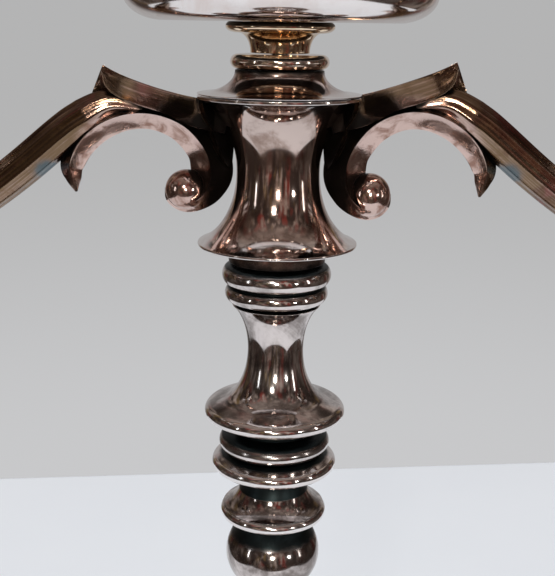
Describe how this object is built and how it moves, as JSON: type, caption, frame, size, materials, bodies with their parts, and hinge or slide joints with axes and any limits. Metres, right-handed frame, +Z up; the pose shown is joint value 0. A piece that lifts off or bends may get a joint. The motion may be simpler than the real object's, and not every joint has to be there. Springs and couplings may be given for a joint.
{
  "type": "table candelabra",
  "caption": "Table candelabra: turned stem on a weighted round foot, waisted hub with scroll branches, drip pans, candle cups and lift-out nozzles.",
  "frame": {"origin": "centre of the underside of the foot", "axes": "+Z up along the stem, +X along the two side branches"},
  "size_m": [0.385, 0.14, 0.3999],
  "materials": {
    "silver_plate": "polished silver plate with rose and brown tarnish, black in the recesses",
    "worn_gilt": "polished, warm brown tone",
    "steel": "plain turned steel",
    "loading": "dull dark pitch, poured in",
    "felt": "dark green felt"
  },
  "bodies": {
    "candlestick": {"base_felt": "felt", "base_plate": "steel", "foot_border": "silver_plate", "foot_shell": "silver_plate", "foot_loading": "loading", "tie_nut": "steel", "tie_washer": "steel", "tie_rod": "steel", "foot_ring": "silver_plate", "baluster": "silver_plate", "baluster_ring": "silver_plate", "ball_knop": "silver_plate", "cone_knop": "silver_plate", "flange_ring": "silver_plate", "bead_ring": "silver_plate", "stem_spool": "silver_plate"},
    "socket_collar": {"socket_collar": "silver_plate"},
    "branches": {"hub_foot_ring": "silver_plate", "hub": "silver_plate", "hub_cap": "silver_plate", "centre_ring": "worn_gilt", "centre_neck": "worn_gilt", "centre_pan": "silver_plate", "centre_cup": "silver_plate", "branch_spigot": "steel", "left_arm": "silver_plate", "left_ferrule": "silver_plate", "left_stud": "steel", "left_ring": "worn_gilt", "left_neck": "worn_gilt", "left_pan": "silver_plate", "left_cup": "silver_plate", "right_arm": "silver_plate", "right_ferrule": "silver_plate", "right_stud": "steel", "right_ring": "worn_gilt", "right_neck": "worn_gilt", "right_pan": "silver_plate", "right_cup": "silver_plate"},
    "centre_nozzle": {"centre_nozzle": "silver_plate"},
    "left_nozzle": {"left_nozzle": "silver_plate"},
    "right_nozzle": {"right_nozzle": "silver_plate"}
  },
  "joints": [
    {"name": "branch_lift", "type": "slide", "parent": "candlestick", "child": "socket_collar", "axis": [0, 0, 1], "range_m": [0, 0.03]},
    {"name": "branch_turn", "type": "hinge", "parent": "socket_collar", "child": "branches", "pos_m": [0, 0, 0.3], "axis": [0, 0, 1], "continuous": true},
    {"name": "centre_nozzle_lift", "type": "slide", "parent": "branches", "child": "centre_nozzle", "axis": [0, 0, 1], "range_m": [0, 0.025]},
    {"name": "left_nozzle_lift", "type": "slide", "parent": "branches", "child": "left_nozzle", "axis": [0, 0, 1], "range_m": [0, 0.025]},
    {"name": "right_nozzle_lift", "type": "slide", "parent": "branches", "child": "right_nozzle", "axis": [0, 0, 1], "range_m": [0, 0.025]}
  ]
}
